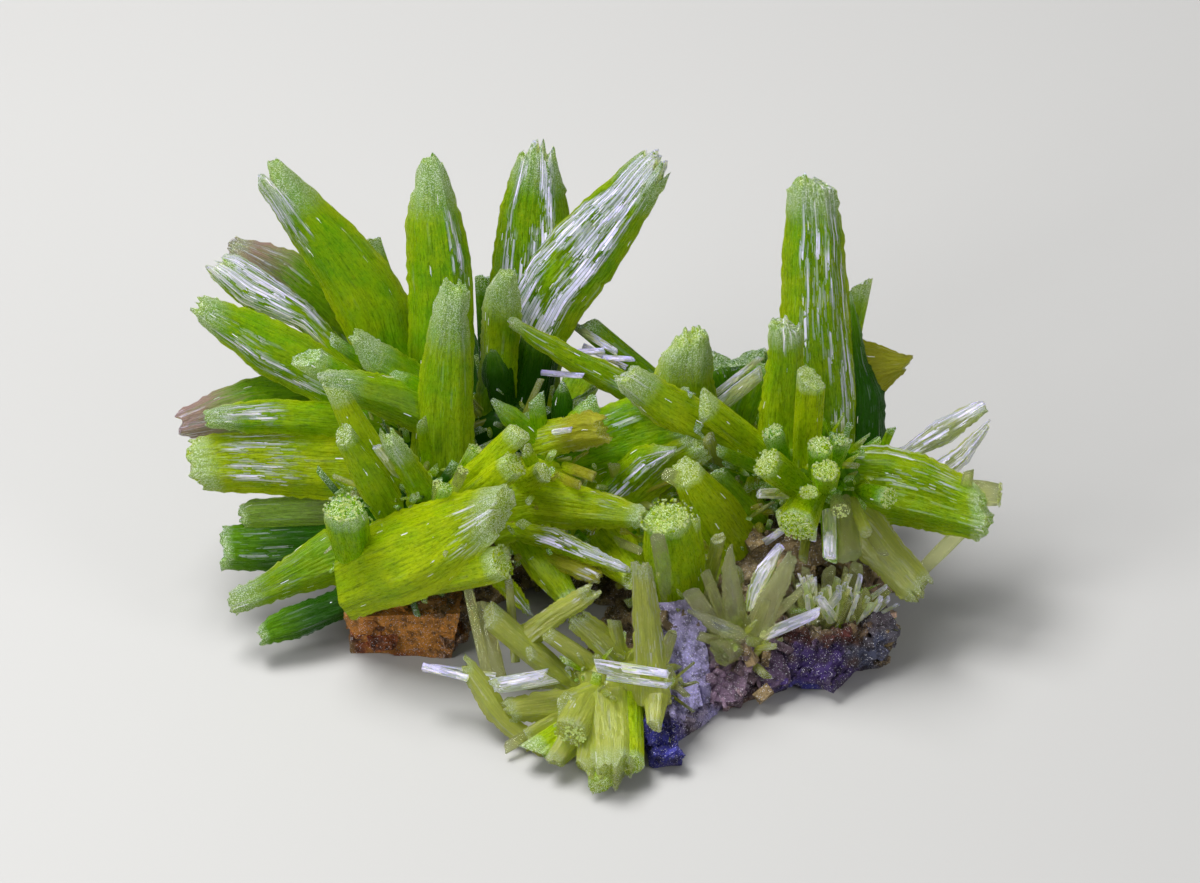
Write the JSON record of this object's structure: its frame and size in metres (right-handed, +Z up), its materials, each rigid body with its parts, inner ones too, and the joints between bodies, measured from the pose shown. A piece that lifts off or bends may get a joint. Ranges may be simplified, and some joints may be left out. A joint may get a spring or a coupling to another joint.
{
  "type": "pyromorphite crystal cluster",
  "caption": "Cluster of green pyromorphite: sprays of striated hexagonal crystals fanning out over a small broken piece of brown and blue-grey rock.",
  "frame": {"origin": "on the flat sawn underside of the rock, below the middle of the cluster", "axes": "+X to the right along the cluster's long side, +Y away from its front, +Z up from the flat underside"},
  "size_m": [0.0491, 0.0344, 0.0261],
  "materials": {
    "matrix_rock": "rough",
    "green_crystal": "glossy",
    "yellow_green_crystal": "glossy",
    "pale_crystal": "glossy"
  },
  "bodies": {
    "root": {"matrix_rock": "matrix_rock", "left_spray": "green_crystal", "back_spray": "green_crystal", "centre_spray": "yellow_green_crystal", "right_spray": "green_crystal", "lower_spray": "yellow_green_crystal", "front_fan": "pale_crystal", "pocket_needles": "pale_crystal"}
  },
  "joints": []
}
